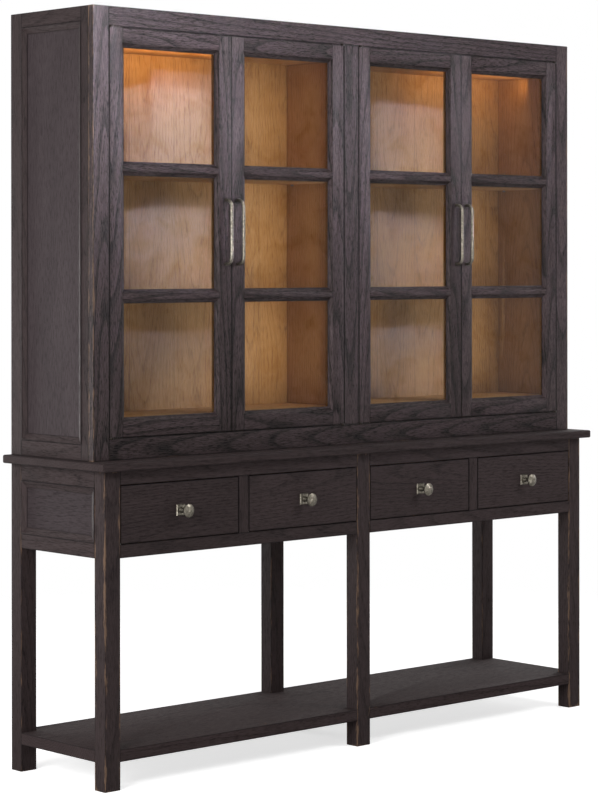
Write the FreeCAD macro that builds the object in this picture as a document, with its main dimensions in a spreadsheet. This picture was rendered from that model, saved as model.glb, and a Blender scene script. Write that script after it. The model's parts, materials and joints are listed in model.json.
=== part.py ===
import FreeCAD, Part
import math
import os
import re

import Sketcher

# Dresser with hutch: millimetres, +Z up, X across the width, the front faces -Y.
# The origin is the centre of the whole piece's footprint, on the floor.

V = FreeCAD.Vector
doc = FreeCAD.newDocument("DresserWithHutch")

SIZES = {
    # overall
    "total_height": 2180,
    "top_height": 910,              # upper face of the tabletop
    "top_thickness": 24,
    "top_overhang_side": 26,
    "top_overhang_front": 27,
    "top_overhang_back": 8,
    "top_edge_radius": 5,
    "case_width": 1984,             # base and hutch, flush at both sides
    # base
    "base_depth": 438,
    "leg_width": 54,
    "leg_depth": 48,
    "leg_edge_radius": 2,
    "upper_rail": 40,
    "lower_rail": 37,
    "drawer_opening": 166,
    "rail_thickness": 22,
    "divider_width": 38,
    "side_rail_upper": 48,
    "side_rail_lower": 42,
    "back_board": 18,
    "back_inset": 4,
    "shelf_top": 112,
    "shelf_thickness": 34,
    "bearer_height": 60,
    # framed side panels, base and hutch alike
    "side_frame": 22,
    "panel_thickness": 9,
    "panel_recess": 8,
    "moulding_width": 20,
    "moulding_proud": 1.5,
    "moulding_bead": 4,
    "moulding_quirk": 2,
    "moulding_toe": 3,
    "moulding_toe_height": 2,
    # drawers
    "drawer_reveal": 2.5,
    "drawer_front": 20,
    "drawer_board": 15,
    "drawer_bottom": 6,
    "drawer_groove": 6,
    "drawer_bottom_rise": 8,
    "drawer_box_depth": 370,
    "drawer_box_drop": 14,          # from the front's upper edge down to the box sides
    "drawer_box_rise": 10,          # from the front's lower edge up to the box
    "slide_space": 12.7,
    "slide_length": 340,
    "slide_setback": 2,             # from the back of the front legs
    "slide_height": 45,
    "slide_rail_height": 34,
    "slide_metal": 1.5,
    "slide_lip": 9.5,
    "slide_rail_lip": 8.7,
    # drawer knobs
    "knob_projection": 42,
    "knob_radius": 19,
    "knob_rim": 3,
    "knob_dome": 6,
    "knob_back": 7,
    "knob_stem_radius": 6,
    "knob_foot_radius": 9,
    "plate_width": 33,
    "plate_thickness": 3,
    "plate_bevel": 2.5,
    # hutch shell
    "hutch_depth": 386,
    "outer_stile": 56,
    "centre_stile": 60,
    "top_rail": 55,
    "bottom_rail": 61,
    "face_thickness": 22,
    "side_stile_front": 55,
    "side_stile_back": 51,
    "hutch_side_upper": 42,
    "hutch_side_lower": 45,
    "shell_board": 20,
    "rear_panel": 8,
    "rear_inset": 2,
    # natural-oak lining
    "lining_board": 19,
    "inner_depth": 238,
    "inner_back": 9,
    "ceiling_drop": 102,            # from the hutch's top down to the lining's ceiling
    "floor_rise": 117,              # from the tabletop up to the lining's floor
    "batten_width": 30,
    "stop_batten": 20,
    "stop_clearance": 1.5,
    # shelves
    "shelf_board": 22,
    "shelf_setback": 8,
    "shelf_play": 1,
    "upper_shelf": 796,             # underside above the tabletop
    "lower_shelf": 438,
    "pin_radius": 2.5,
    "pin_depth": 9,
    "pin_reach": 9,
    "pin_pitch": 62.5,
    "pin_setback": 30,
    # doors
    "door_gap": 2,
    "door_thickness": 22,
    "door_stile": 58,
    "door_rail": 56,
    "muntin": 40,
    "bevel_width": 12,
    "bevel_depth": 8.3,
    "bevel_step": 1.2,
    "lip_depth": 11,
    "rebate_width": 8,
    "glass_thickness": 3,
    "glass_play": 1,
    # door handles
    "handle_length": 196,
    "handle_projection": 32,
    "handle_bar_radius": 5,
    "handle_bend": 21,
    "handle_inset": 22,             # bar centre from the door's meeting edge
    "handle_height": 579,           # bar centre above the door's lower edge
    # pivot hinges and catches
    "leaf_thickness": 2.5,
    "leaf_width": 10,
    "leaf_setback": 3,
    "knuckle_radius": 6,
    "pivot_inset": 6,               # hinge axis from the door's hinge edge
    "leaf_spacing": 0.2,
    "pivot_radius": 2,
    "pivot_clearance": 0.05,
    "magnet_radius": 5,
    "magnet_depth": 12,
    "magnet_gap": 0.5,
    "strike_radius": 6,
    "strike_thickness": 1.5,
    "catch_inset": 30,
    # screws between tabletop and hutch
    "screw_radius": 2.5,
    "screw_bite": 16,
    "screw_head_radius": 4.5,
    "screw_head": 3,
    "screw_edge": 90,
}

sheet = doc.addObject("Spreadsheet::Sheet", "Sizes")
for row, (alias, size) in enumerate(SIZES.items(), start=1):
    sheet.set(f"A{row}", alias)
    sheet.set(f"B{row}", str(size))
    sheet.setAlias(f"B{row}", alias)
doc.recompute()

# Places and sizes that follow from the sheet, as expressions.
LEG_HEIGHT = "(top_height - top_thickness)"
FRONT = "((knob_projection - base_depth - top_overhang_back)/2)"
BACK = f"({FRONT} + base_depth)"
LEFT = "(-case_width/2)"
BASE_BAY = "(case_width/2 - leg_width*3/2)"
DRAWER_SPACE = f"(({BASE_BAY} - divider_width)/2)"
APRON_BOTTOM = f"({LEG_HEIGHT} - upper_rail - drawer_opening - lower_rail)"
DRAWER_BOTTOM = f"({APRON_BOTTOM} + lower_rail)"
HUTCH_FRONT = f"({BACK} - hutch_depth)"
CARCASS_FRONT = f"({HUTCH_FRONT} + face_thickness)"
INNER_BACK = f"({CARCASS_FRONT} + inner_depth)"
SHELL_HALF = "(case_width/2 - side_frame)"
BAY_OUTER = "(case_width/2 - outer_stile)"
BAY_INNER = "(centre_stile/2)"
FLOOR = "(top_height + floor_rise)"
CEILING = "(total_height - ceiling_drop)"
DOOR_WIDTH = f"(({BAY_OUTER} - {BAY_INNER} - 3*door_gap)/2)"
DOOR_BOTTOM = "(top_height + bottom_rail + door_gap)"
DOOR_HEIGHT = f"(total_height - top_rail - door_gap - {DOOR_BOTTOM})"
PANE_HEIGHT = f"(({DOOR_HEIGHT} - 2*door_rail - 2*muntin)/3)"
PANE_WIDTH = f"({DOOR_WIDTH} - 2*door_stile)"
FRONT_WIDTH = f"({DRAWER_SPACE} - 2*drawer_reveal)"
FRONT_HEIGHT = "(drawer_opening - 2*drawer_reveal)"
BOX_HEIGHT = f"({FRONT_HEIGHT} - drawer_box_drop - drawer_box_rise)"
SLIDE_HEIGHT = f"({DRAWER_BOTTOM} + drawer_reveal + drawer_box_rise + {BOX_HEIGHT}/2)"

TURN_NONE = FreeCAD.Rotation()
TURN_UP = FreeCAD.Rotation(V(0, 1, 0), -90)      # a profile's width runs up, its length towards -X
TURN_DOWN = FreeCAD.Rotation(V(0, 1, 0), 90)     # width runs down, length towards +X
TURN_BACK = FreeCAD.Rotation(V(0, 1, 0), 180)    # width runs towards -X, length down
ALONG_X = FreeCAD.Rotation(V(0, 1, 0), 90)
ALONG_Y = FreeCAD.Rotation(V(1, 0, 0), -90)
STAND_OUT = FreeCAD.Rotation(V(1, 0, 0), 90)     # a rod's length runs towards -Y

nodes = []


def bind(obj, prop, text):
    """Tie a property to an expression written with the sheet's aliases."""
    obj.setExpression(prop, re.sub(r"\b[a-z][a-z_]+\b", r"Sizes.\g<0>", text))


def place(obj, x, y, z, turn=TURN_NONE):
    obj.Placement = FreeCAD.Placement(V(), turn)
    for axis, text in zip("xyz", (x, y, z)):
        bind(obj, f"Placement.Base.{axis}", text)
    return obj


def block(x, y, z, dx, dy, dz, name="Block"):
    """A plain board from its low corner and its three sizes."""
    box = doc.addObject("Part::Box", name)
    bind(box, "Length", dx)
    bind(box, "Width", dy)
    bind(box, "Height", dz)
    return place(box, x, y, z)


def rod(x, y, z, radius, length, turn=TURN_NONE, name="Rod"):
    cylinder = doc.addObject("Part::Cylinder", name)
    bind(cylinder, "Radius", radius)
    bind(cylinder, "Height", length)
    return place(cylinder, x, y, z, turn)


def cone(x, y, z, radius_near, radius_far, length, name="Cone"):
    """A tapered turning that stands out towards -Y."""
    shape = doc.addObject("Part::Cone", name)
    bind(shape, "Radius1", radius_near)
    bind(shape, "Radius2", radius_far)
    bind(shape, "Height", length)
    return place(shape, x, y, z, STAND_OUT)


def fuse(parts, name="Fused"):
    fusion = doc.addObject("Part::MultiFuse", name)
    fusion.Shapes = parts
    fusion.Refine = True
    return fusion


def gather(parts, name="Group"):
    compound = doc.addObject("Part::Compound", name)
    compound.Links = parts
    return compound


def cut(base, tools, name="Cut"):
    result = doc.addObject("Part::Cut", name)
    result.Base = base
    result.Tool = tools[0] if len(tools) == 1 else gather(tools, "Tools")
    return result


def common(base, tool, name="Common"):
    result = doc.addObject("Part::Common", name)
    result.Base = base
    result.Tool = tool
    return result


def mirror(obj, name="Mirrored"):
    """The same piece on the other side of the middle plane."""
    result = doc.addObject("Part::Mirroring", name)
    result.Source = obj
    result.Normal = V(1, 0, 0)
    return result


def node(label, parts):
    """Keep one sub-part: a single piece, or a group of separate solids."""
    result = parts[0] if len(parts) == 1 else gather(parts)
    result.Label = label
    nodes.append(result)
    return result


def outline(sketch, points):
    """A closed outline of straight lines, each corner tied to its two expressions."""
    count = len(points)
    for i in range(count):
        here, there = (2*math.pi*k/count - 2.3 for k in (i, i + 1))
        start = V(50 + 40*math.cos(here), 50 + 40*math.sin(here), 0)
        end = V(50 + 40*math.cos(there), 50 + 40*math.sin(there), 0)
        sketch.addGeometry(Part.LineSegment(start, end), False)
    for i in range(count):
        sketch.addConstraint(Sketcher.Constraint("Coincident", i, 2, (i + 1) % count, 1))
    for i, (across, along) in enumerate(points):
        for axis_line, kind, text in ((-2, "DistanceX", across), (-1, "DistanceY", along)):
            if text == "0":
                sketch.addConstraint(Sketcher.Constraint("PointOnObject", i, 1, axis_line))
                continue
            index = sketch.addConstraint(Sketcher.Constraint(kind, -1, 1, i, 1, 5.0))
            name = f"{kind}{i}"
            sketch.renameConstraint(index, name)
            bind(sketch, f"Constraints.{name}", text)


def bar(points, length, x, y, z, turn=TURN_NONE, name="Bar"):
    """A moulded bar: an outline in its own XY plane, carried along its own Z."""
    sketch = doc.addObject("Sketcher::SketchObject", name + "Outline")
    outline(sketch, points)
    result = doc.addObject("Part::Extrusion", name)
    result.Base = sketch
    result.DirMode = "Normal"
    result.Solid = True
    bind(result, "LengthFwd", length)
    return place(result, x, y, z, turn)


def eased_board(x, y, z, dx, dy, dz, radius, all_edges, name):
    """A padded board whose edges are rounded: all of them, or only the upright ones."""
    body = doc.addObject("PartDesign::Body", name)
    sketch = body.newObject("Sketcher::SketchObject", name + "Sketch")
    plane = next(f for f in body.Origin.OriginFeatures if f.Role == "XY_Plane")
    sketch.AttachmentSupport = [(plane, "")]
    sketch.MapMode = "FlatFace"
    outline(sketch, [("0", "0"), (dx, "0"), (dx, dy), ("0", dy)])
    pad = body.newObject("PartDesign::Pad", name + "Pad")
    pad.Profile = sketch
    bind(pad, "Length", dz)
    doc.recompute()
    edges = [f"Edge{i}" for i, edge in enumerate(pad.Shape.Edges, start=1)
             if all_edges or abs(edge.tangentAt(edge.FirstParameter).z) > 0.9]
    fillet = body.newObject("PartDesign::Fillet", name + "Fillet")
    fillet.Base = (pad, edges)
    bind(fillet, "Radius", radius)
    body.Tip = fillet
    return place(body, x, y, z)


# ---------------------------------------------------------------- base

def build_tabletop():
    screws = []
    for side in (-1, 1):
        for share in (f"({SHELL_HALF} - screw_edge)", f"{SHELL_HALF}/2", "screw_edge"):
            across = f"{side}*{share}"
            for along in (f"{CARCASS_FRONT} + screw_edge/2", f"{BACK} - screw_edge/2"):
                shank = rod(across, along, LEG_HEIGHT, "screw_radius", "top_thickness + screw_bite")
                head = rod(across, along, f"{LEG_HEIGHT} - screw_head", "screw_head_radius", "screw_head")
                screws.append((shank, head))
    shanks = [shank for shank, head in screws]
    board = eased_board(
        "-case_width/2 - top_overhang_side", f"{FRONT} - top_overhang_front", LEG_HEIGHT,
        "case_width + 2*top_overhang_side", "base_depth + top_overhang_front + top_overhang_back",
        "top_thickness", "top_edge_radius", True, "TabletopBoard")
    node("tabletop", [cut(board, shanks)])
    node("hutch_fixing_screws", [fuse([shank, head]) for shank, head in screws])
    bottom = block(f"-{SHELL_HALF}", CARCASS_FRONT, "top_height",
                   f"2*{SHELL_HALF}", "hutch_depth - face_thickness", "shell_board")
    node("hutch_bottom", [cut(bottom, shanks)])


def leg_places():
    return ("-case_width/2", "-leg_width/2", "case_width/2 - leg_width")


def build_legs():
    for label, y in (("front_legs", FRONT), ("back_legs", f"{BACK} - leg_depth")):
        legs = [eased_board(x, y, "0", "leg_width", "leg_depth", LEG_HEIGHT,
                            "leg_edge_radius", False, "Leg") for x in leg_places()]
        node(label, legs)


def build_lower_shelf():
    underside = "shelf_top - shelf_thickness"
    slab = block(LEFT, FRONT, underside, "case_width", "base_depth", "shelf_thickness")
    notches = [block(x, y, underside, "leg_width", "leg_depth", "shelf_thickness")
               for x in leg_places() for y in (FRONT, f"{BACK} - leg_depth")]
    node("lower_shelf", [cut(slab, notches)])


def bay_left_edges():
    return (f"{LEFT} + leg_width", "leg_width/2")


def build_base_front():
    members = []
    for x in bay_left_edges():
        for z, height in ((f"{LEG_HEIGHT} - upper_rail", "upper_rail"), (APRON_BOTTOM, "lower_rail")):
            members.append(block(x, FRONT, z, BASE_BAY, "rail_thickness", height))
        members.append(block(f"{x} + {DRAWER_SPACE}", FRONT, DRAWER_BOTTOM,
                             "divider_width", "rail_thickness", "drawer_opening"))
    node("base_front_frame", members)


def build_base_back():
    boards = [block(x, f"{BACK} - back_inset - back_board", APRON_BOTTOM,
                    BASE_BAY, "back_board", f"{LEG_HEIGHT} - {APRON_BOTTOM}") for x in bay_left_edges()]
    node("base_back_boards", boards)


def mitred_moulding(x, y, z, depth, height):
    """Four mitred pieces round a left-hand panel: y, z is the opening's low corner."""
    rise = "(panel_recess + moulding_proud)"
    section = [("0", "0"), ("moulding_width", "0"), ("moulding_width", "moulding_toe_height"),
               ("moulding_width - moulding_toe", "moulding_toe_height"),
               ("moulding_bead", f"{rise} - moulding_quirk"), ("moulding_bead", rise), ("0", rise)]
    pieces = []
    # Each piece's section has its width towards the panel's middle and its depth towards -X.
    sides = (
        (V(0, 1, 0), V(0, 0, 1), depth, y, z),
        (V(0, 0, 1), V(0, -1, 0), height, f"{y} + {depth}", z),
        (V(0, -1, 0), V(0, 0, -1), depth, f"{y} + {depth}", f"{z} + {height}"),
        (V(0, 0, -1), V(0, 1, 0), height, y, f"{z} + {height}"))
    for run, inward, length, at_y, at_z in sides:
        outward = V(-1, 0, 0)
        # the section lies in (inward, outward); its extrusion runs along their cross product
        section_turn = FreeCAD.Rotation(inward, outward, inward.cross(outward), "ZXY")
        forward = inward.cross(outward).dot(run) > 0
        shift_y = "0" if forward or run.y == 0 else f"{run.y}*{length}"
        shift_z = "0" if forward or run.z == 0 else f"{run.z}*{length}"
        stick = bar(section, length, x, f"{at_y} + {shift_y}", f"{at_z} + {shift_z}", section_turn)
        mitre_turn = FreeCAD.Rotation(run, inward, run.cross(inward), "ZXY")
        mitre = bar([("0", "0"), (length, "0"), (f"{length} - moulding_width", "moulding_width"),
                     ("moulding_width", "moulding_width")], f"2*{rise}",
                    f"{x} - {run.cross(inward).x}*{rise}", at_y, at_z, mitre_turn)
        pieces.append(common(stick, mitre))
    return pieces


def build_sides():
    """Framed panels on both sides: rails between the legs in the base, a full frame on the hutch."""
    base_opening = ("(base_depth - 2*leg_depth)",
                    f"({LEG_HEIGHT} - {APRON_BOTTOM} - side_rail_upper - side_rail_lower)")
    base_corner = (f"({FRONT} + leg_depth)", f"({APRON_BOTTOM} + side_rail_lower)")
    rail_levels = ((f"{LEG_HEIGHT} - side_rail_upper", "side_rail_upper"), (APRON_BOTTOM, "side_rail_lower"))
    base_rails = [block(LEFT, base_corner[0], z, "side_frame", base_opening[0], height)
                  for z, height in rail_levels]
    node("base_side_rails", base_rails + [mirror(rail) for rail in base_rails])

    hutch_opening = ("(hutch_depth - side_stile_front - side_stile_back)",
                     "(total_height - top_height - hutch_side_upper - hutch_side_lower)")
    hutch_corner = (f"({HUTCH_FRONT} + side_stile_front)", "(top_height + hutch_side_lower)")
    hutch_height = "(total_height - top_height)"
    members = [
        block(LEFT, CARCASS_FRONT, "top_height",
              "side_frame", "side_stile_front - face_thickness", hutch_height),
        block(LEFT, f"{BACK} - side_stile_back", "top_height",
              "side_frame", "side_stile_back", hutch_height),
        block(LEFT, hutch_corner[0], "total_height - hutch_side_upper",
              "side_frame", hutch_opening[0], "hutch_side_upper"),
        block(LEFT, hutch_corner[0], "top_height",
              "side_frame", hutch_opening[0], "hutch_side_lower")]
    node("hutch_side_frames", members + [mirror(member) for member in members])

    panels = []
    mouldings = []
    for corner, opening in ((base_corner, base_opening), (hutch_corner, hutch_opening)):
        panels.append(block(f"{LEFT} + panel_recess", *corner, "panel_thickness", *opening))
        mouldings += mitred_moulding(f"({LEFT} + panel_recess)", *corner, *opening)
    node("side_panels", panels + [mirror(panel) for panel in panels])
    node("side_panel_mouldings", mouldings + [mirror(piece) for piece in mouldings])


def c_section(web, lip, height):
    """Outline of a folded channel lying open towards +X, its web on the Y axis."""
    return [("0", "0"), (lip, "0"), (lip, web), (web, web), (web, f"{height} - {web}"),
            (lip, f"{height} - {web}"), (lip, height), ("0", height)]


def slide_member(lip, height, x, y, z, open_right):
    """A folded channel along Y from its lower front corner, open towards +X or -X."""
    section = c_section("slide_metal", lip, height)
    if open_right:
        turn = FreeCAD.Rotation(V(1, 0, 0), V(0, 0, 1), V(0, -1, 0), "ZXY")
        return bar(section, "slide_length", x, f"{y} + slide_length", z, turn, "Slide")
    turn = FreeCAD.Rotation(V(-1, 0, 0), V(0, 0, 1), V(0, 1, 0), "ZXY")
    return bar(section, "slide_length", x, y, z, turn, "Slide")


def drawer_spaces():
    """Left edge of each drawer's opening, from left to right."""
    edges = []
    for x in bay_left_edges():
        edges += [f"({x})", f"({x} + {DRAWER_SPACE} + divider_width)"]
    return edges


def build_drawer_bearers():
    low = f"{SLIDE_HEIGHT} - bearer_height/2"
    between_legs = "base_depth - 2*leg_depth"
    behind_divider = "base_depth - rail_thickness - back_inset - back_board"
    outer = block(f"{LEFT} + side_frame", f"{FRONT} + leg_depth", low,
                  "leg_width - side_frame", between_legs, "bearer_height")
    inner = block(f"{LEFT} + leg_width + {DRAWER_SPACE}", f"{FRONT} + rail_thickness", low,
                  "divider_width", behind_divider, "bearer_height")
    middle = block("-leg_width/2", f"{FRONT} + leg_depth", low, "leg_width", between_legs, "bearer_height")
    node("drawer_bearers", [outer, inner, middle, mirror(inner), mirror(outer)])

    start = f"{FRONT} + leg_depth + slide_setback"
    level = f"{SLIDE_HEIGHT} - slide_height/2"
    channels = []
    for edge in drawer_spaces():
        for x, opens_right in ((edge, True), (f"{edge} + {DRAWER_SPACE}", False)):
            channels.append(slide_member("slide_lip", "slide_height", x, start, level, opens_right))
    node("drawer_slide_channels", channels)


# ---------------------------------------------------------------- drawers

def build_knob(x, z):
    """Square bevelled plate and a round domed knob on a waisted stem, standing out towards -Y."""
    half = "plate_width/2"
    plate = doc.addObject("Part::Wedge", "KnobPlate")
    for prop, text in (("Xmin", "plate_bevel"), ("Zmin", "plate_bevel"), ("Ymin", "0"),
                       ("Xmax", "plate_width - plate_bevel"), ("Zmax", "plate_width - plate_bevel"),
                       ("Ymax", "plate_thickness"), ("X2min", "0"), ("Z2min", "0"),
                       ("X2max", "plate_width"), ("Z2max", "plate_width")):
        bind(plate, prop, text)
    place(plate, f"{x} - {half}", "-plate_thickness", f"{z} - {half}")
    waist = "(knob_projection - plate_thickness - knob_back - knob_rim - knob_dome)"
    rim_back = "-(knob_projection - knob_dome - knob_rim)"
    foot = cone(x, "-plate_thickness", z, "knob_foot_radius", "knob_stem_radius", f"{waist}/2")
    stem = rod(x, f"-plate_thickness - {waist}/2", z, "knob_stem_radius", f"{waist}/2", STAND_OUT)
    back = cone(x, f"-plate_thickness - {waist}", z, "knob_stem_radius", "knob_radius", "knob_back")
    rim = rod(x, rim_back, z, "knob_radius", "knob_rim", STAND_OUT)
    ball = doc.addObject("Part::Sphere", "KnobDome")
    sphere_radius = "((knob_radius*knob_radius + knob_dome*knob_dome)/(2*knob_dome))"
    bind(ball, "Radius", sphere_radius)
    place(ball, x, f"-knob_projection + {sphere_radius}", z, STAND_OUT)
    cap = common(ball, rod(x, "-knob_projection + knob_dome", z, "knob_radius", "knob_dome", STAND_OUT))
    return [plate, fuse([foot, stem, back, rim, cap])]


def build_drawer(number, edge):
    """One drawer in its own frame: x from the front's left edge, y from its face, z from its lower edge."""
    origin = (f"{edge} + drawer_reveal", FRONT, f"{DRAWER_BOTTOM} + drawer_reveal")
    left = "(slide_space - drawer_reveal)"
    width = f"({DRAWER_SPACE} - 2*slide_space)"
    low = "drawer_box_rise"
    start = "drawer_front"
    front = block("0", "0", "0", FRONT_WIDTH, "drawer_front", FRONT_HEIGHT)

    floor = block(f"{left} + drawer_board - drawer_groove", f"{start} + drawer_board - drawer_groove",
                  f"{low} + drawer_bottom_rise", f"{width} - 2*drawer_board + 2*drawer_groove",
                  "drawer_box_depth - 2*drawer_board + 2*drawer_groove", "drawer_bottom")
    inner_width = f"{width} - 2*drawer_board"
    right = f"{left} + {width} - drawer_board"
    walls = [
        block(left, start, low, "drawer_board", "drawer_box_depth", BOX_HEIGHT),
        block(right, start, low, "drawer_board", "drawer_box_depth", BOX_HEIGHT),
        block(f"{left} + drawer_board", start, low, inner_width, "drawer_board", BOX_HEIGHT),
        block(f"{left} + drawer_board", f"{start} + drawer_box_depth - drawer_board", low,
              inner_width, "drawer_board", BOX_HEIGHT)]
    box = [cut(wall, [floor]) for wall in walls] + [floor]

    rail_level = f"{low} + {BOX_HEIGHT}/2 - slide_rail_height/2"
    rails = [slide_member("slide_rail_lip", "slide_rail_height", x,
                          "leg_depth + slide_setback", rail_level, opens_right)
             for x, opens_right in ((left, False), (f"{left} + {width}", True))]

    knob = build_knob(f"{FRONT_WIDTH}/2", f"{FRONT_HEIGHT}/2")
    for label, parts in (("front", [front]), ("box", box), ("slide_rails", rails), ("knob", knob)):
        place(node(f"drawer_{number}_{label}", parts), *origin)


# ---------------------------------------------------------------- hutch shell

def door_places():
    """For each door its lower left corner's x, and 1 where it hinges at the left, -1 at the right."""
    return (
        (f"(-{BAY_OUTER} + door_gap)", 1),
        (f"(-{BAY_INNER} - door_gap - {DOOR_WIDTH})", -1),
        (f"({BAY_INNER} + door_gap)", 1),
        (f"({BAY_OUTER} - door_gap - {DOOR_WIDTH})", -1))


def hinge_axis(door_x, hand):
    return f"{door_x} + pivot_inset" if hand > 0 else f"{door_x} + {DOOR_WIDTH} - pivot_inset"


def hinge_leaf(axis_x, front_y, low_z, hand):
    """A flat leaf with a round knuckle at the door's front corner."""
    start = axis_x if hand > 0 else f"{axis_x} - {LEAF_LENGTH}"
    plate = block(start, f"{front_y} + leaf_setback", low_z, LEAF_LENGTH, "leaf_width", "leaf_thickness")
    knuckle = rod(axis_x, front_y, low_z, "knuckle_radius", "leaf_thickness")
    return fuse([plate, knuckle])


LEAF_LENGTH = "(door_stile - bevel_width - pivot_inset)"
LEAF_PROUD = "((door_gap - leaf_spacing)/2)"
UPPER_FRAME_LEAF = f"(total_height - top_rail - {LEAF_PROUD})"
LOWER_FRAME_LEAF = f"(top_height + bottom_rail + {LEAF_PROUD} - leaf_thickness)"


def build_face_frame():
    leaves = []
    upper_tools = []
    lower_tools = []
    for door_x, hand in door_places():
        axis = hinge_axis(door_x, hand)
        upper = hinge_leaf(axis, HUTCH_FRONT, UPPER_FRAME_LEAF, hand)
        lower = hinge_leaf(axis, HUTCH_FRONT, LOWER_FRAME_LEAF, hand)
        upper_tools.append(upper)
        lower_tools.append(lower)
        for leaf, pin_z in ((upper, f"{UPPER_FRAME_LEAF} - leaf_thickness"),
                            (lower, f"{LOWER_FRAME_LEAF} + leaf_thickness")):
            leaves.append(fuse([leaf, rod(axis, HUTCH_FRONT, pin_z, "pivot_radius", "leaf_thickness")]))
    node("hinge_frame_leaves", leaves)

    height = "total_height - top_height"
    left = f"{LEFT} + outer_stile"
    length = "case_width - 2*outer_stile"
    left_stile = block(LEFT, HUTCH_FRONT, "top_height", "outer_stile", "face_thickness", height)
    top_rail = block(left, HUTCH_FRONT, "total_height - top_rail", length, "face_thickness", "top_rail")
    bottom_rail = block(left, HUTCH_FRONT, "top_height", length, "face_thickness", "bottom_rail")
    centre = block("-centre_stile/2", HUTCH_FRONT, "top_height + bottom_rail",
                   "centre_stile", "face_thickness", f"{height} - bottom_rail - top_rail")
    node("hutch_face_frame", [left_stile, mirror(left_stile), centre,
                              cut(top_rail, upper_tools), cut(bottom_rail, lower_tools)])


def build_shell():
    top = block(f"-{SHELL_HALF}", CARCASS_FRONT, "total_height - shell_board",
                f"2*{SHELL_HALF}", "hutch_depth - face_thickness", "shell_board")
    rear = block(f"-{SHELL_HALF}", f"{BACK} - rear_inset - rear_panel", "top_height + shell_board",
                 f"2*{SHELL_HALF}", "rear_panel", "total_height - top_height - 2*shell_board")
    node("hutch_top", [top])
    node("hutch_rear_panel", [rear])


def build_lining():
    """Natural-oak boards inside the shell: floor, ceiling, four uprights and the inner back."""
    across = (f"-{SHELL_HALF}", f"2*{SHELL_HALF}")
    behind_stop = f"{CARCASS_FRONT} + stop_clearance"
    board_depth = "inner_depth - stop_clearance"
    catch_z = f"{CEILING} + lining_board/2"
    magnets = [rod(f"{door_x} + {DOOR_WIDTH} - catch_inset" if hand > 0 else f"{door_x} + catch_inset",
                   f"{CARCASS_FRONT} + magnet_gap", catch_z, "magnet_radius", "magnet_depth", ALONG_Y)
               for door_x, hand in door_places()]
    node("catch_magnets", magnets)
    ceiling = block(across[0], behind_stop, CEILING, across[1], board_depth, "lining_board")
    floor = block(across[0], behind_stop, f"{FLOOR} - lining_board", across[1], board_depth, "lining_board")

    upright_height = f"({CEILING} - {FLOOR})"
    levels = [f"top_height + {shelf} - pin_radius" for shelf in ("upper_shelf", "lower_shelf")]
    columns = (f"{CARCASS_FRONT} + pin_setback + shelf_setback", f"{INNER_BACK} - pin_setback")
    uprights = []
    pins = []
    for low_x, face_x, into in ((f"-{BAY_OUTER} - lining_board", f"-{BAY_OUTER}", -1),
                                (f"-{BAY_INNER}", f"-{BAY_INNER}", 1)):
        board = block(low_x, CARCASS_FRONT, FLOOR, "lining_board", "inner_depth", upright_height)
        deep = f"{face_x} - pin_depth" if into < 0 else face_x
        reach = f"{face_x} - pin_depth" if into < 0 else f"{face_x} - pin_reach"
        holes = [rod(deep, y, f"{z} + {step}*pin_pitch", "pin_radius", "pin_depth", ALONG_X)
                 for y in columns for z in levels for step in range(-2, 3)]
        upright = cut(board, holes)
        uprights += [upright, mirror(upright)]
        for y in columns:
            for z in levels:
                pin = rod(reach, y, z, "pin_radius", "pin_depth + pin_reach", ALONG_X)
                pins += [pin, mirror(pin)]
    node("inner_lining", [floor, cut(ceiling, magnets)] + uprights)
    node("shelf_pins", pins)
    node("inner_back", [block(across[0], INNER_BACK, f"{FLOOR} - lining_board", across[1], "inner_back",
                              f"{upright_height} + 2*lining_board")])

    shelves = []
    depth = "inner_depth - shelf_setback - shelf_play"
    for rise in ("upper_shelf", "lower_shelf"):
        shelf = block(f"-{BAY_OUTER} + shelf_play", f"{CARCASS_FRONT} + shelf_setback", f"top_height + {rise}",
                      f"{BAY_OUTER} - {BAY_INNER} - 2*shelf_play", depth, "shelf_board")
        shelves += [shelf, mirror(shelf)]
    node("display_shelves", shelves)


def build_battens():
    """Hidden battens that carry the lining inside the shell."""
    across = (f"-{SHELL_HALF}", f"2*{SHELL_HALF}")
    battens = []
    for y in (f"{CARCASS_FRONT} + stop_clearance", f"{INNER_BACK} - stop_batten"):
        battens.append(block(across[0], y, f"{CEILING} + lining_board", across[1], "stop_batten",
                             "ceiling_drop - lining_board - shell_board"))
        battens.append(block(across[0], y, "top_height + shell_board", across[1], "stop_batten",
                             "floor_rise - lining_board - shell_board"))
    for y in (CARCASS_FRONT, f"{INNER_BACK} - batten_width"):
        side = block(f"-{SHELL_HALF}", y, FLOOR, "outer_stile - side_frame - lining_board",
                     "batten_width", f"{CEILING} - {FLOOR}")
        middle = block("-centre_stile/2 + lining_board", y, FLOOR, "centre_stile - 2*lining_board",
                       "batten_width", f"{CEILING} - {FLOOR}")
        battens += [side, mirror(side), middle]
    node("lining_battens", battens)


# ---------------------------------------------------------------- doors

STILE_SECTION = [
    ("0", "0"), ("door_stile - bevel_width", "0"), ("door_stile - bevel_width", "bevel_step"),
    ("door_stile", "bevel_depth + bevel_step"), ("door_stile", "lip_depth"),
    ("door_stile - rebate_width", "lip_depth"), ("door_stile - rebate_width", "door_thickness"),
    ("0", "door_thickness")]
RAIL_SECTION = [(across.replace("door_stile", "door_rail"), deep) for across, deep in STILE_SECTION]
MUNTIN_SECTION = [
    ("bevel_width", "0"), ("muntin - bevel_width", "0"), ("muntin - bevel_width", "bevel_step"),
    ("muntin", "bevel_depth + bevel_step"), ("muntin", "lip_depth"), ("muntin - rebate_width", "lip_depth"),
    ("muntin - rebate_width", "door_thickness"), ("rebate_width", "door_thickness"),
    ("rebate_width", "lip_depth"), ("0", "lip_depth"), ("0", "bevel_depth + bevel_step"),
    ("bevel_width", "bevel_step")]


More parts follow.
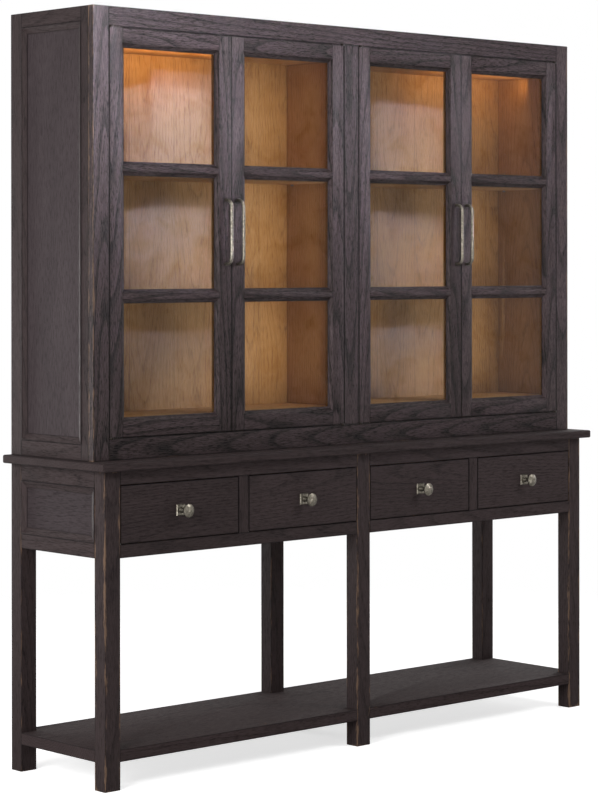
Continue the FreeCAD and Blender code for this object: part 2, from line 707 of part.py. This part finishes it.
def build_handle(x, z):
    """A bent bar pull: upright bar, two quarter bends and two legs that meet the door's face."""
    half = "(handle_length/2 - handle_bar_radius)"
    out = "(handle_projection - handle_bar_radius)"
    straight = f"({half} - handle_bend)"
    parts = [rod(x, f"-{out}", f"{z} - {straight}", "handle_bar_radius", f"2*{straight}")]
    for side in (-1, 1):
        leg_z = f"{z} + {side}*{half}"
        leg = rod(x, f"-{out} + handle_bend", leg_z, "handle_bar_radius", f"{out} - handle_bend", ALONG_Y)
        bend = doc.addObject("Part::Torus", "HandleBend")
        bind(bend, "Radius1", "handle_bend")
        bind(bend, "Radius2", "handle_bar_radius")
        bend.Angle3 = 90
        # the quarter ring sweeps from its own +X to its own +Y, here up or down and then out
        turn = FreeCAD.Rotation(V(0, -1, 0), V(0, 0, side), V(-side, 0, 0), "ZXY")
        place(bend, x, f"-{out} + handle_bend", f"{leg_z} - {side}*handle_bend", turn)
        parts += [leg, bend]
    return fuse(parts, "Handle")


def build_door(number, door_x, hand):
    """One door in its own frame: x from its left edge, y from its face, z from its lower edge."""
    origin = (door_x, HUTCH_FRONT, DOOR_BOTTOM)
    axis = hinge_axis("0", hand)
    upper_z = f"({DOOR_HEIGHT} + {LEAF_PROUD} - leaf_thickness)"
    lower_z = f"-{LEAF_PROUD}"
    leaves = [hinge_leaf(axis, "0", z, hand) for z in (upper_z, lower_z)]
    holes = [rod(axis, "0", z, "pivot_radius + pivot_clearance", "leaf_thickness")
             for z in (upper_z, lower_z)]
    meeting = f"{DOOR_WIDTH} - catch_inset" if hand > 0 else "catch_inset"
    catch_z = f"({CEILING} + lining_board/2 - {DOOR_BOTTOM})"
    strike = rod(meeting, "door_thickness - strike_thickness", catch_z,
                 "strike_radius", "strike_thickness", ALONG_Y)
    fittings = [cut(leaf, [hole]) for leaf, hole in zip(leaves, holes)] + [strike]

    left = bar(STILE_SECTION, DOOR_HEIGHT, "0", "0", "0", TURN_NONE, "Stile")
    right = bar(STILE_SECTION, DOOR_HEIGHT, DOOR_WIDTH, "0", DOOR_HEIGHT, TURN_BACK, "Stile")
    run = f"({DOOR_WIDTH} - 2*(door_stile - bevel_width))"
    near = "(door_stile - bevel_width)"
    far = f"({DOOR_WIDTH} - {near})"
    crossbars = [
        bar(RAIL_SECTION, run, near, "0", DOOR_HEIGHT, TURN_DOWN, "Rail"),
        bar(RAIL_SECTION, run, far, "0", "0", TURN_UP, "Rail")]
    for step in (1, 2):
        muntin_top = f"door_rail + {step}*({PANE_HEIGHT} + muntin)"
        crossbars.append(bar(MUNTIN_SECTION, run, near, "0", muntin_top, TURN_DOWN, "Muntin"))
    hinge_stile, meeting_stile = (left, right) if hand > 0 else (right, left)
    frame = [cut(hinge_stile, leaves), cut(meeting_stile, [strike])]
    frame += [cut(crossbar, [left, right]) for crossbar in crossbars]

    panes = []
    beads = []
    bead_y = "lip_depth + glass_thickness"
    bead_depth = "door_thickness - lip_depth - glass_thickness"
    opening_x = "(door_stile - rebate_width)"
    opening_width = f"({PANE_WIDTH} + 2*rebate_width)"
    opening_height = f"({PANE_HEIGHT} + 2*rebate_width)"
    for step in range(3):
        opening_z = f"(door_rail - rebate_width + {step}*({PANE_HEIGHT} + muntin))"
        panes.append(block(f"{opening_x} + glass_play", "lip_depth", f"{opening_z} + glass_play",
                           f"{opening_width} - 2*glass_play", "glass_thickness",
                           f"{opening_height} - 2*glass_play"))
        for x in (opening_x, f"{opening_x} + {opening_width} - rebate_width"):
            beads.append(block(x, bead_y, opening_z, "rebate_width", bead_depth, opening_height))
        for z in (opening_z, f"{opening_z} + {opening_height} - rebate_width"):
            beads.append(block(f"{opening_x} + rebate_width", bead_y, z,
                               PANE_WIDTH, bead_depth, "rebate_width"))

    handle_x = f"{DOOR_WIDTH} - handle_inset" if hand > 0 else "handle_inset"
    handle = build_handle(handle_x, "handle_height")
    for label, parts in (("frame", frame), ("glass", panes), ("glazing_beads", beads), ("handle", [handle]),
                         ("fittings", fittings)):
        place(node(f"door_{number}_{label}", parts), *origin)


# ---------------------------------------------------------------- assembly

build_tabletop()
build_legs()
build_lower_shelf()
build_base_front()
build_base_back()
build_sides()
build_drawer_bearers()
for number, edge in enumerate(drawer_spaces(), start=1):
    build_drawer(number, edge)
build_face_frame()
build_shell()
build_lining()
build_battens()
for number, (door_x, hand) in enumerate(door_places(), start=1):
    build_door(number, door_x, hand)

doc.recompute()
for obj in doc.Objects:
    if "Invalid" in obj.State or "Error" in obj.State:
        raise RuntimeError(f"{obj.Label} failed: {obj.State}")
os.makedirs("parts", exist_ok=True)
for obj in nodes:
    shape = obj.Shape
    if shape.isNull() or not shape.isValid():
        raise RuntimeError(f"{obj.Label} has no valid shape")
    shape.exportStep(f"parts/{obj.Label}.step")
    print(f"{obj.Label:24s} solids {len(shape.Solids):3d}  volume {shape.Volume/1e3:10.1f} cm3")
print(len(nodes), "nodes")
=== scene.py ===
import json
import math
import random
from functools import partial

import bmesh
import bpy
from mathutils import Matrix, Vector

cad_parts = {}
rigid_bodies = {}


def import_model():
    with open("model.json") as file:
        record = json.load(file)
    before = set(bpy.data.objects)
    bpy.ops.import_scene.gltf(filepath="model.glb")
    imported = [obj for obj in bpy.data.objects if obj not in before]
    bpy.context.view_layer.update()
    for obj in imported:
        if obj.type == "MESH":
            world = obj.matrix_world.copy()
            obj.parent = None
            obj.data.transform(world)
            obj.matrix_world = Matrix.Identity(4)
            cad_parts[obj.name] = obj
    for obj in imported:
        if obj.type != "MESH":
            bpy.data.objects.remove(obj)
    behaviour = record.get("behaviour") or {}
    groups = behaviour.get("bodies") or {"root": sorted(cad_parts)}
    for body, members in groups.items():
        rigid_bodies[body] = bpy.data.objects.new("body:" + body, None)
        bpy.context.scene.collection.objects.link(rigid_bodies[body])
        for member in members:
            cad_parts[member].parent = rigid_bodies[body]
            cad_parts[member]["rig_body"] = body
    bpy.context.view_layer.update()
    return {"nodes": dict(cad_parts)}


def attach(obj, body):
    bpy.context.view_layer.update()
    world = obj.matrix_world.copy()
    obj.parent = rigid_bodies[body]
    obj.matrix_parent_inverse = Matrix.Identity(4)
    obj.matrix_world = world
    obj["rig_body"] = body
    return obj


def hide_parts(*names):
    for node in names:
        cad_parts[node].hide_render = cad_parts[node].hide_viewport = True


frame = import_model()
nodes = frame["nodes"]
MM = 0.001


# ---------------------------------------------------------------- colours and nodes

def tint(code):
    """An sRGB hex colour as the linear values that a shader reads."""
    channels = [int(code[i:i + 2], 16)/255 for i in (1, 3, 5)]
    linear = [c/12.92 if c <= 0.04045 else ((c + 0.055)/1.055)**2.4 for c in channels]
    return (*linear, 1.0)


def add(tree, kind, *inputs, stops=(), **named):
    """One shader node with its settings and links.

    Inputs come in order, or by their names in capitals, or by i and their number. Each is a value, or a node
    or socket to link. The other named values are the node's settings. stops are a colour ramp's pairs of a
    position and a colour, where a plain number stands for a grey."""
    made = tree.nodes.new("ShaderNode" + kind)
    wanted = list(enumerate(inputs))
    for key, value in named.items():
        if key[0].isupper():
            wanted.append((key.replace("_", " "), value))
        elif key[0] == "i" and key[1:].isdigit():
            wanted.append((int(key[1:]), value))
        else:
            setattr(made, key, value)
    for where, value in wanted:
        if isinstance(value, bpy.types.Node):
            value = value.outputs[0]
        if isinstance(value, bpy.types.NodeSocket):
            tree.links.new(value, made.inputs[where])
        else:
            made.inputs[where].default_value = value
    for position, colour in stops[2:]:
        made.color_ramp.elements.new(position)
    for element, (position, colour) in zip(made.color_ramp.elements if stops else (), stops):
        element.position = position
        element.color = colour if isinstance(colour, tuple) else (colour, colour, colour, 1.0)
    return made


def new_material(name):
    """An empty material, and the function that puts a node in it."""
    material = bpy.data.materials.new(name)
    material.use_nodes = True
    material.node_tree.nodes.clear()
    return material, partial(add, material.node_tree)


# ---------------------------------------------------------------- wood

POOL_FADE = 600.0       # per metre: pooled stain fades over 1.7 mm
RUB_AND_SHEEN_FADE = 220.0        # per metre: the pale arris, worn finish and painted highlight alike, fades over 4.5 mm


def oak(name, ridge, body, groove, rub_and_sheen_colour, ring_mm, wander_mm, groove_mm, relief_mm, rub_and_sheen_mm, gloss, ior, shares,
        pooling, plank_mm=0.0):
    """Oak, sawn and wire-brushed: the soft early wood of each ring is brushed out and leaves open grooves.

    The eye sees cathedral figure and fine dark grooves along the grain, dark stain in the joints and pale
    worn wood along the arrises; down the hutch's front arrises that pale line is a painted highlight of the
    sheen. Real pores are 0.3 mm wide and rings 2 to 4 mm: both are drawn coarser, as groove_mm and ring_mm,
    so that they show. The board's own attributes place it in its log: x runs along the grain, and the pith
    is the x axis. shares says how much the rings, fibres, clouds and grooves each darken the colour.
    plank_mm is the width of the veneer leaves, where there are any."""
    material, put = new_material(name)
    log = put("Attribute", attribute_name="log_place").outputs["Vector"]
    tone = put("Attribute", attribute_name="board_tone").outputs["Fac"]
    # the pale arris line (worn finish; on the hutch's front a painted highlight of sheen) and the faces'
    # dullness
    wear_and_sheen = put("Attribute", attribute_name="board_wear").outputs["Vector"]
    rub_and_sheen_amount, dulling, _ = put("SeparateXYZ", wear_and_sheen).outputs
    if plank_mm:
        # veneer leaves laid side by side, each from another place in the log
        along, across, through = put("SeparateXYZ", log).outputs
        count = put("Math", across, 1000.0/plank_mm, operation="MULTIPLY")
        leaf = put("Math", count, operation="FLOOR")
        chance = put("TexWhiteNoise", W=leaf, noise_dimensions="1D").outputs["Color"]
        one, two, three = put("SeparateColor", chance).outputs
        pith = put("Math", one, 0.6, 0.2, operation="MULTIPLY_ADD")
        inside = put("Math", put("Math", count, operation="FRACT"), pith, operation="SUBTRACT")
        log = put("CombineXYZ", put("Math", two, 9.0, along, operation="MULTIPLY_ADD"),
                  put("Math", inside, plank_mm*MM, operation="MULTIPLY"),
                  put("Math", three, 0.05, through, operation="MULTIPLY_ADD")).outputs["Vector"]
        tone = put("Math", two, 2.0, -1.0, operation="MULTIPLY_ADD")
        seam = put("Math", count, 0.5, operation="PINGPONG")

    def streaks(length_mm, width_mm, detail, roughness=0.55):
        """Noise drawn out along the grain."""
        scale = (1000.0/length_mm, 1000.0/width_mm, 1000.0/width_mm)
        return put("TexNoise", Vector=put("VectorMath", log, scale, operation="MULTIPLY"), Scale=1.0,
                   Detail=detail, Roughness=roughness)

    # growth rings that wander a few millimetres over a hand's length
    off = put("VectorMath", streaks(420, 150, 3.0).outputs["Color"], (0.5, 0.5, 0.5), operation="SUBTRACT")
    bent = put("VectorMath", off, (0.0, wander_mm*MM, wander_mm*MM), log, operation="MULTIPLY_ADD")
    cross = put("VectorMath", bent, (0.0, 1.0, 1.0), operation="MULTIPLY")
    radius = put("VectorMath", cross, operation="LENGTH").outputs["Value"]
    ring = put("Math", put("Math", radius, 1000.0/ring_mm, operation="MULTIPLY"), operation="FRACT")
    early = put("ValToRGB", ring, stops=[(0.0, 0.0), (0.07, 1.0), (0.24, 0.40), (0.5, 0.0), (1.0, 0.0)])
    grooves = put("ValToRGB", streaks(9*groove_mm, groove_mm, 3.0, 0.65), stops=[(0.48, 0.0), (0.60, 1.0)])
    fibre = streaks(40, 3, 3.0, 0.65)
    cloud = streaks(350, 70, 2.0, 0.5)

    # early wood is where most grooves are open
    share_open = put("Math", early, 0.3, 0.7, operation="MULTIPLY_ADD")
    open_grain = put("Math", grooves, share_open, operation="MULTIPLY")
    mixed = put("Math", tone, 0.08, 0.5, operation="MULTIPLY_ADD")
    for part, middle, share in zip((early, fibre, cloud, open_grain), (0.2, 0.5, 0.5, 0.2), shares):
        swing = put("Math", part, middle, operation="SUBTRACT")
        mixed = put("Math", swing, share, mixed, operation="MULTIPLY_ADD")
    colour = put("ValToRGB", mixed, stops=[(0.0, groove), (0.5, body), (1.0, ridge)])

    # how far in from the nearest long edge of the board
    place = put("Attribute", attribute_name="board_place").outputs["Vector"]
    half = put("Attribute", attribute_name="board_half").outputs["Vector"]
    depth = put("VectorMath", half, put("VectorMath", place, operation="ABSOLUTE"), operation="SUBTRACT")
    x, y, z = put("SeparateXYZ", depth).outputs
    least = put("Math", put("Math", x, y, operation="MINIMUM"), z, operation="MINIMUM")
    most = put("Math", put("Math", x, y, operation="MAXIMUM"), z, operation="MAXIMUM")
    total = put("Math", put("Math", x, y, operation="ADD"), z, operation="ADD")
    to_arris = put("Math", put("Math", total, most, operation="SUBTRACT"), least, operation="SUBTRACT")

    # stain gathers in the joints, drawn 3 mm wide so that it shows
    near = put("Math", 3.0*MM, to_arris, operation="SUBTRACT")
    pooled = put("Math", near, POOL_FADE, operation="MULTIPLY", use_clamp=True)
    if plank_mm:
        # a dark line 1.4 mm wide between two leaves
        glue_line = put("Math", seam, 0.7/plank_mm, operation="LESS_THAN")
        pooled = put("Math", pooled, glue_line, operation="MAXIMUM")
    pool = put("Math", pooled, pooling, operation="MULTIPLY")
    colour = put("Mix", pool, i6=colour, i7=groove, data_type="RGBA").outputs[2]

    # the arrises are worn pale in patches, up to rub_and_sheen_mm in; down the front arrises of the hutch
    # this pale line is a painted highlight, standing for the sheen along them
    patchy = put("Math", streaks(90, 14, 4.0, 0.7), 0.42, operation="SUBTRACT", use_clamp=True)
    deepest = put("Math", rub_and_sheen_amount, 8*rub_and_sheen_mm*MM, operation="MULTIPLY")
    reach = put("Math", patchy, deepest, operation="MULTIPLY")
    within = put("Math", reach, to_arris, operation="SUBTRACT")
    rub_and_sheen = put("Math", within, RUB_AND_SHEEN_FADE, operation="MULTIPLY", use_clamp=True)
    bare_and_sheen = put("Math", rub_and_sheen, 0.5, operation="MULTIPLY")
    colour = put("Mix", bare_and_sheen, i6=colour, i7=rub_and_sheen_colour, data_type="RGBA").outputs[2]

    sunk = put("Math", early, 0.08, open_grain, operation="MULTIPLY_ADD")
    height = put("Math", put("Math", fibre, 1.2, operation="MULTIPLY"), sunk, operation="SUBTRACT")
    bump = put("Bump", Strength=1.0, Distance=relief_mm*MM, Height=height)
    dull = put("Math", dulling, 0.35, gloss, operation="MULTIPLY_ADD")
    rough = put("Math", open_grain, 0.25, dull, operation="MULTIPLY_ADD")
    shader = put("BsdfPrincipled", Base_Color=colour, Roughness=rough, IOR=ior, Normal=bump)
    put("OutputMaterial", Surface=shader)
    return material


def shells_of(mesh):
    """The closed shells of a CAD node's loose triangles, which come one board after another."""
    shells, current, open_edges = [], [], {}
    corners = [tuple(round(c, 6) for c in vertex.co) for vertex in mesh.vertices]
    for triangle in mesh.polygons:
        current.append(triangle.index)
        a, b, c = (corners[i] for i in triangle.vertices)
        for edge in ((a, b), (b, c), (c, a)):
            back = (edge[1], edge[0])
            if open_edges.get(back):
                open_edges[back] -= 1
                if not open_edges[back]:
                    del open_edges[back]
            else:
                open_edges[edge] = open_edges.get(edge, 0) + 1
        if not open_edges:
            shells.append(current)
            current = []
    if current:
        shells.append(current)
    return shells


def islands_of(bm):
    """The boards of a piece, in the order of their corners: the groups of corners that edges join."""
    seen, islands = set(), []
    for first in bm.verts:
        if first in seen:
            continue
        seen.add(first)
        island = [first]
        for corner in island:
            for edge in corner.link_edges:
                other = edge.other_vert(corner)
                if other not in seen:
                    seen.add(other)
                    island.append(other)
        islands.append(island)
    return islands


def timber(node, wood, eased_mm=1.2, grain=None, log_mm=(55, 120), rub_and_sheen=0.12, dulled=0.0,
           level_dulled=0.35, all_round=False):
    """A CAD node's boards as one piece with eased arrises, each board cut from its own place in a log.

    rubbed is how far the finish has worn off the arrises on the outside of the piece, or all_round off every
    board's; down the front arrises of the hutch's frames its pale line is a painted highlight of sheen.
    dulled is how much sheen the faces have lost, level_dulled the least of it where the grain lies level,
    because the brushed grooves then turn the shine up and down."""
    source = nodes[node].data
    seed = random.Random(node)
    bm = bmesh.new()
    bm.from_mesh(source)
    bm.faces.ensure_lookup_table()
    boards = [list(dict.fromkeys(v for i in shell for v in bm.faces[i].verts)) for shell in shells_of(source)]
    for corners in boards:
        bmesh.ops.remove_doubles(bm, verts=corners, dist=0.002*MM)
    bmesh.ops.dissolve_limit(bm, angle_limit=math.radians(1.0), verts=bm.verts, edges=bm.edges)
    if eased_mm:
        arrises = [edge for edge in bm.edges if len(edge.link_faces) == 2 and edge.is_convex
                   and edge.calc_face_angle() > math.radians(30) and edge.calc_length() > 6*eased_mm*MM]
        bmesh.ops.bevel(bm, geom=arrises, offset=eased_mm*MM, offset_type="OFFSET", affect="EDGES",
                        segments=2, profile=0.5, material=-1, clamp_overlap=True)
    log_place, board_place, board_half = (bm.verts.layers.float_vector.new(name)
                                          for name in ("log_place", "board_place", "board_half"))
    board_wear = bm.verts.layers.float_vector.new("board_wear")
    board_tone = bm.verts.layers.float.new("board_tone")
    ends = [[pick(v.co[i] for v in bm.verts) for pick in (min, max)] for i in range(3)]
    for board in islands_of(bm):
        low, high = (Vector([pick(v.co[i] for v in board) for i in range(3)]) for pick in (min, max))
        size, centre = high - low, (high + low)/2
        order = sorted(range(3), key=lambda i: -size[i])
        if grain is not None:
            order = [grain] + [i for i in order if i != grain]
        along, across, through = order
        start = seed.uniform(-20, 20)
        pith_across = seed.uniform(-0.7, 0.7)*size[across]
        pith_through = seed.choice((-1, 1))*seed.uniform(*log_mm)*MM
        lean = seed.choice((-1, 1))*seed.uniform(0.015, 0.05)
        tone = seed.uniform(-1, 1)
        for v in board:
            p = v.co - centre
            v[log_place] = Vector((p[along] + start, p[across] - pith_across,
                                   p[through] - pith_through + lean*p[along]))
            v[board_place] = p
            v[board_half] = size/2
            v[board_tone] = tone
            outside = all(min(abs(v.co[i] - end) for end in ends[i]) < 2.5*MM for i in (across, through))
            # outside uprights get the palest arrises: worn finish on the legs, a painted highlight of sheen on
            # the hutch's frames
            reached = 1.0 if all_round or outside and along == 2 else 0.3 if outside else 0.1
            v[board_wear] = Vector((reached*rub_and_sheen, dulled if along == 2 else max(dulled, level_dulled), 0.0))
    mesh = bpy.data.meshes.new(node + "_timber")
    bm.to_mesh(mesh)
    bm.free()
    mesh.materials.append(wood)
    mesh.set_sharp_from_angle(angle=math.radians(25))
    piece = bpy.data.objects.new(node + "_timber", mesh)
    bpy.context.scene.collection.objects.link(piece)
    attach(piece, nodes[node]["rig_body"])
    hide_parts(node)
    return piece


# the low ior keeps the dark boards dull, as oiled and not lacquered; plain oak has a usual one
# the pale tan arris colour is worn oak, and down the hutch's front arrises a painted highlight of sheen
dark_oak = oak("fumed_wire_brushed_oak", ridge=tint("#55474a"), body=tint("#2e2525"), groove=tint("#0b0808"),
               rub_and_sheen_colour=tint("#7d6450"), ring_mm=9.0, wander_mm=16.0, groove_mm=2.2, relief_mm=0.45, rub_and_sheen_mm=3.4,
               gloss=0.42, ior=1.22, shares=(-0.40, 0.72, 0.3, -0.60), pooling=0.85)
dark_panel = oak("fumed_oak_panel", ridge=tint("#494042"), body=tint("#31292b"), groove=tint("#161112"),
                 rub_and_sheen_colour=tint("#7d6450"), ring_mm=6.0, wander_mm=16.0, groove_mm=3.0, relief_mm=0.1, rub_and_sheen_mm=0.0,
                 gloss=0.4, ior=1.22, shares=(-0.08, 0.35, 0.3, -0.2), pooling=0.75)
dark_board = oak("fumed_planed_oak", ridge=tint("#413637"), body=tint("#2d2424"), groove=tint("#171112"),
                 rub_and_sheen_colour=tint("#7d6450"), ring_mm=8.0, wander_mm=20.0, groove_mm=2.6, relief_mm=0.20, rub_and_sheen_mm=3.4,
                 gloss=0.42, ior=1.22, shares=(-0.22, 0.50, 0.3, -0.30), pooling=0.75)
plain_oak = oak("oiled_natural_oak", ridge=tint("#cba46b"), body=tint("#b3854b"), groove=tint("#76532d"),
                rub_and_sheen_colour=tint("#c99a62"), ring_mm=7.0, wander_mm=25.0, groove_mm=2.5, relief_mm=0.03, rub_and_sheen_mm=0.8,
                gloss=0.5, ior=1.5, shares=(-0.18, 0.45, 0.4, -0.25), pooling=0.6)
oak_veneer = oak("flat_cut_oak_veneer", ridge=tint("#cba46b"), body=tint("#b3854b"), groove=tint("#76532d"),
                 rub_and_sheen_colour=tint("#c99a62"), ring_mm=8.0, wander_mm=32.0, groove_mm=2.5, relief_mm=0.03, rub_and_sheen_mm=0.0,
                 gloss=0.5, ior=1.5, shares=(-0.18, 0.45, 0.4, -0.3), pooling=0.8, plank_mm=170.0)

# the hutch's top is above the eye and left unpolished, so it has the least sheen of all
# the third column is the pale arris line: worn finish on the legs and base, a painted highlight of sheen down
# the front arrises of the hutch's frames
for node, wood, rub_and_sheen, dulled in (
        ("front_legs", dark_board, 1.5, 0.6), ("back_legs", dark_board, 0.8, 0.6),
        ("lower_shelf", dark_board, 0.5, 1.0), ("base_front_frame", dark_board, 0.15, 0.6),
        ("base_back_boards", dark_board, 0.0, 0.6), ("base_side_rails", dark_board, 0.15, 0.5),
        ("hutch_side_frames", dark_board, 0.2, 0.2), ("side_panel_mouldings", dark_board, 0.1, 0.2),
        ("side_panels", dark_panel, 0.0, 0.2), ("hutch_face_frame", dark_oak, 1.5, 0.0),
        ("hutch_top", dark_oak, 0.3, 1.6), ("hutch_rear_panel", dark_board, 0.0, 0.6)):
    timber(node, wood, rub_and_sheen=rub_and_sheen, dulled=dulled, all_round=node.endswith("legs"))
for node in ("tabletop", "hutch_bottom"):
    timber(node, dark_board, eased_mm=0.0, rub_and_sheen=0.4, dulled=0.6)
for node in ("drawer_bearers", "inner_lining", "display_shelves", "lining_battens"):
    timber(node, plain_oak, eased_mm=0.0 if node == "inner_lining" else 1.0)
timber("inner_back", oak_veneer, grain=2, log_mm=(60, 61))
for k in (1, 2, 3, 4):
    timber(f"door_{k}_frame", dark_oak, eased_mm=0.7, rub_and_sheen=0.2)
    timber(f"door_{k}_glazing_beads", plain_oak, eased_mm=0.5)
    timber(f"drawer_{k}_front", dark_board, rub_and_sheen=0.25, dulled=0.6)
    timber(f"drawer_{k}_box", plain_oak, eased_mm=0.8)


# ---------------------------------------------------------------- metal and glass

def nickel(name, dark, middle, pale):
    """Cast nickel plate, antiqued: dark in the hollows, paler where hands have worn it. The eye sees a soft
    mottle, a hand's worn patch 6 mm wide and pitting 2 mm wide."""
    material, put = new_material(name)
    place = put("TexCoord").outputs["Object"]
    mottle = put("TexNoise", Vector=place, Scale=1000.0/6.25, Detail=4.0, Roughness=0.65)
    speck = put("TexNoise", Vector=place, Scale=520.0, Detail=2.0, Roughness=0.6)
    pitted = put("Math", speck, 0.3, operation="MULTIPLY")
    worn = put("Math", mottle, 0.7, pitted, operation="MULTIPLY_ADD")
    colour = put("ValToRGB", worn, stops=[(0.34, tint(dark)), (0.50, tint(middle)), (0.66, tint(pale))])
    rough = put("ValToRGB", worn, stops=[(0.36, 0.55), (0.64, 0.30)])
    bump = put("Bump", Strength=0.3, Distance=0.15*MM, Height=worn)
    shader = put("BsdfPrincipled", Base_Color=colour, Metallic=1.0, Roughness=rough, Normal=bump)
    put("OutputMaterial", Surface=shader)
    return material


def zinc():
    """Steel, bright zinc plated: cool grey with a crystal bloom, 4 mm across."""
    material, put = new_material("zinc_plated_steel")
    place = put("TexCoord").outputs["Object"]
    bloom = put("TexNoise", Vector=place, Scale=240.0, Detail=3.0, Roughness=0.6)
    colour = put("ValToRGB", bloom, stops=[(0.35, tint("#8d9196")), (0.65, tint("#b3b6ba"))])
    rough = put("ValToRGB", bloom, stops=[(0.35, 0.42), (0.65, 0.28)])
    shader = put("BsdfPrincipled", Base_Color=colour, Metallic=1.0, Roughness=rough)
    put("OutputMaterial", Surface=shader)
    return material


def drawn_glass():
    """Clear glass, drawn and aged: faint brown clouding that gathers in blotches a hand wide, under a weak
    mirror sheen."""
    material, put = new_material("aged_clear_glass")
    place = put("TexCoord").outputs["Object"]
    cloud = put("TexNoise", Vector=place, Scale=9.0, Detail=4.0, Roughness=0.6, Distortion=0.8)
    film = put("ValToRGB", cloud, stops=[(0.48, tint("#fcfdfc")), (0.62, tint("#f8f6f0")),
                                         (0.76, tint("#f0ebdf"))])
    clear = put("BsdfTransparent", Color=film)
    sheen = put("BsdfGlossy", Color=(1, 1, 1, 1), Roughness=0.02)
    put("OutputMaterial", Surface=put("MixShader", put("Fresnel", IOR=1.15), clear, sheen))
    return material


def cover(node, material):
    """A CAD node keeps its shape and gets its finish."""
    data = nodes[node].data
    data.materials.clear()
    data.materials.append(material)


pewter = nickel("antiqued_nickel", "#4a463f", "#6a655b", "#857f75")
blackened = nickel("blackened_nickel", "#171412", "#25211e", "#35302b")
plated, glass = zinc(), drawn_glass()
for node in ("hutch_fixing_screws", "drawer_slide_channels", "catch_magnets", "shelf_pins"):
    cover(node, plated)
cover("hinge_frame_leaves", blackened)
for k in (1, 2, 3, 4):
    cover(f"door_{k}_glass", glass)
    cover(f"door_{k}_handle", pewter)
    cover(f"door_{k}_fittings", blackened)
    cover(f"drawer_{k}_slide_rails", plated)
    cover(f"drawer_{k}_knob", pewter)


# ---------------------------------------------------------------- studio

def lamp(name, place, aim, size, watts, colour="#ffffff", spread=180.0, shine_only=False):
    """A rectangular lamp at a place, turned to aim at another. shine_only leaves the diffuse colours unlit."""
    light = bpy.data.lights.new(name, "AREA")
    light.shape = "RECTANGLE"
    light.size, light.size_y = size
    light.energy = watts
    light.spread = math.radians(spread)
    light.color = tint(colour)[:3]
    holder = bpy.data.objects.new(name, light)
    holder.visible_diffuse = not shine_only
    holder.location = place
    holder.rotation_euler = (Vector(aim) - Vector(place)).to_track_quat("-Z", "Y").to_euler()
    bpy.context.scene.collection.objects.link(holder)
    return holder


def white_floor():
    """A white sweep that keeps the dresser's shadow and fades into the white beyond it."""
    bm = bmesh.new()
    bmesh.ops.create_grid(bm, x_segments=1, y_segments=1, size=6.0)
    mesh = bpy.data.meshes.new("studio_floor")
    bm.to_mesh(mesh)
    bm.free()
    floor = bpy.data.objects.new("studio_floor", mesh)
    bpy.context.scene.collection.objects.link(floor)
    material, put = new_material("white_studio_floor")
    paint = put("BsdfDiffuse", Color=(0.85, 0.85, 0.85, 1.0))
    glow = put("Emission", Color=(1, 1, 1, 1), Strength=0.66)
    seen = put("MixShader", put("LightPath").outputs["Is Camera Ray"], paint, put("AddShader", paint, glow))
    place = put("TexCoord").outputs["Object"]
    away = put("VectorMath", place, operation="LENGTH").outputs["Value"]
    fade = put("MapRange", Value=away, From_Min=1.8, From_Max=3.6, interpolation_type="SMOOTHSTEP")
    put("OutputMaterial", Surface=put("MixShader", fade, seen, put("BsdfTransparent")))
    mesh.materials.append(material)


def white_world():
    """White to the eye, in reflections and through glass, and a soft even light on the dresser."""
    world = bpy.data.worlds.new("studio")
    bpy.context.scene.world = world
    world.use_nodes = True
    world.node_tree.nodes.clear()
    put = partial(add, world.node_tree)
    path = put("LightPath")
    mirrored = put("Math", path.outputs["Is Glossy Ray"], path.outputs["Is Transmission Ray"],
                   operation="MAXIMUM")
    seen = put("Math", path.outputs["Is Camera Ray"], mirrored, operation="MAXIMUM")
    soft = put("Background", Color=(1, 1, 1, 1), Strength=0.175)
    white = put("Background", Color=(1, 1, 1, 1), Strength=1.0)
    put("OutputWorld", Surface=put("MixShader", seen, soft, white))


def camera():
    """A level view from the front left, with the lens shifted down to keep the uprights parallel."""
    data = bpy.data.cameras.new("view")
    data.sensor_fit = "AUTO"
    data.sensor_width = 36.0
    data.lens = 110.93
    data.shift_y = -0.16867
    data.clip_end = 100.0
    holder = bpy.data.objects.new("view", data)
    yaw, roll = math.radians(42.554), math.radians(-0.058)
    turn = Matrix.Rotation(-yaw, 4, "Z") @ Matrix.Rotation(math.pi/2, 4, "X") @ Matrix.Rotation(roll, 4, "Z")
    holder.matrix_world = Matrix.Translation((-5.19445, -5.57375, 1.45601)) @ turn
    bpy.context.scene.collection.objects.link(holder)
    bpy.context.scene.camera = holder


white_floor()
white_world()
camera()
lamp("back_softbox", (-1.2, 5.2, 0.9), (0.1, 0.2, 1.1), (1.4, 1.4), 115)
lamp("right_softbox", (5.2, 0.9, 1.6), (1.0, 0.1, 1.1), (2.0, 2.0), 90)
for bay_x, height, watts, cone in ((-0.78, 1.88, 5.2, 7.0), (0.50, 1.56, 3.7, 6.4)):
    lamp("bay_sheen", (5.9, -6.1, 3.9), (bay_x, 0.1, height), (1.2, 1.2), watts, "#fbf0ff", spread=cone,
         shine_only=True)
lamp("front_sheen", (2.2, -4.8, 2.9), (-1.25, 0.0, 2.55), (0.8, 0.8), 20.0, "#fbf0ff", spread=20.0,
     shine_only=True)
lamp("low_fill", (1.0, -4.3, 0.3), (0.9, -0.2, 0.6), (0.8, 0.8), 5.0, spread=80.0)
lamp("front_softbox", (2.5, -3.8, 4.2), (0.2, 0.0, 1.1), (1.5, 1.5), 88)
lamp("left_softbox", (-4.6, -1.2, 1.9), (-1.0, 0.0, 1.2), (2.5, 2.5), 210)
for right_side, middle, beside, above in ((-0.066, -0.60, 0.58, 0.41), (0.900, 0.70, 0.26, 0.25)):
    # a display strip stands behind the right-hand stile of each bay, another hangs under its ceiling
    lamp("upright_strip", (right_side, -0.116, 1.55), (right_side - 0.10, 0.11, 1.55), (0.012, 0.98), beside,
         "#ffeed6", spread=110.0)
    lamp("top_strip", (middle, -0.030, 2.052), (middle, 0.11, 2.060), (0.44, 0.010), above, "#ffc880")
bpy.context.scene.view_settings.view_transform = "Standard"
